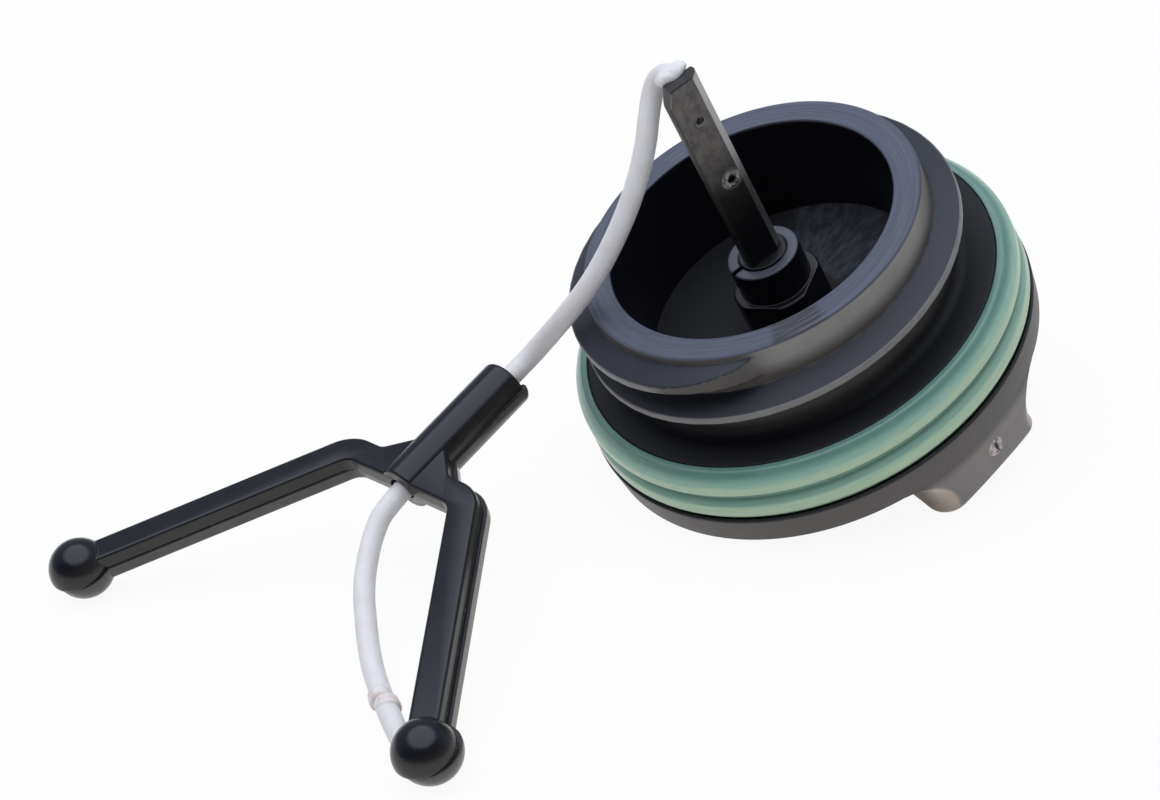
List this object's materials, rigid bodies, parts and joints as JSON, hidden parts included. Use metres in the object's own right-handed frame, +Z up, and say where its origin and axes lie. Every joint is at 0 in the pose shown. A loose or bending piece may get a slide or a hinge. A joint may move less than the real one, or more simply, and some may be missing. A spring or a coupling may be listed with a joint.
{
  "type": "fuel filler cap",
  "caption": "Screw-in tank cap, mouth up, with a raised thread, seal ring and bar grip, tethered by a cord from a swivelling stem to a forked anchor.",
  "frame": {"origin": "on the surface the object lies on, under the middle of the box round its rigid pieces", "axes": "+X runs from the anchor's balls towards the cap, +Z is up, and the cap's own axis leans 20 degrees from +Z towards -X"},
  "size_m": [0.0895, 0.0664, 0.0461],
  "materials": {
    "cap_plastic": "black moulded plastic, satin, worn at the edges",
    "seal_rubber": "pale green rubber",
    "stem_plastic": "black moulded plastic",
    "cord_plastic": "translucent white nylon",
    "bead_plastic": "pale moulded plastic",
    "fork_plastic": "black moulded plastic with a parting line"
  },
  "bodies": {
    "cap": {"cap_body": "cap_plastic", "seal_ring": "seal_rubber"},
    "swivel": {"swivel_stem": "stem_plastic", "tether_cord": "cord_plastic", "cord_stop": "bead_plastic"},
    "fork": {"anchor_fork": "fork_plastic"}
  },
  "joints": [
    {"name": "stem_swivel", "type": "hinge", "parent": "cap", "child": "swivel", "pos_m": [0.0235, -0.0099, 0.00785], "axis": [-0.343, 0, 0.9393], "continuous": true},
    {"name": "fork_spin", "type": "hinge", "parent": "swivel", "child": "fork", "pos_m": [-0.04045, 0.00402, 0.00301], "axis": [0.9558, 0.0317, 0.2924], "continuous": true}
  ]
}
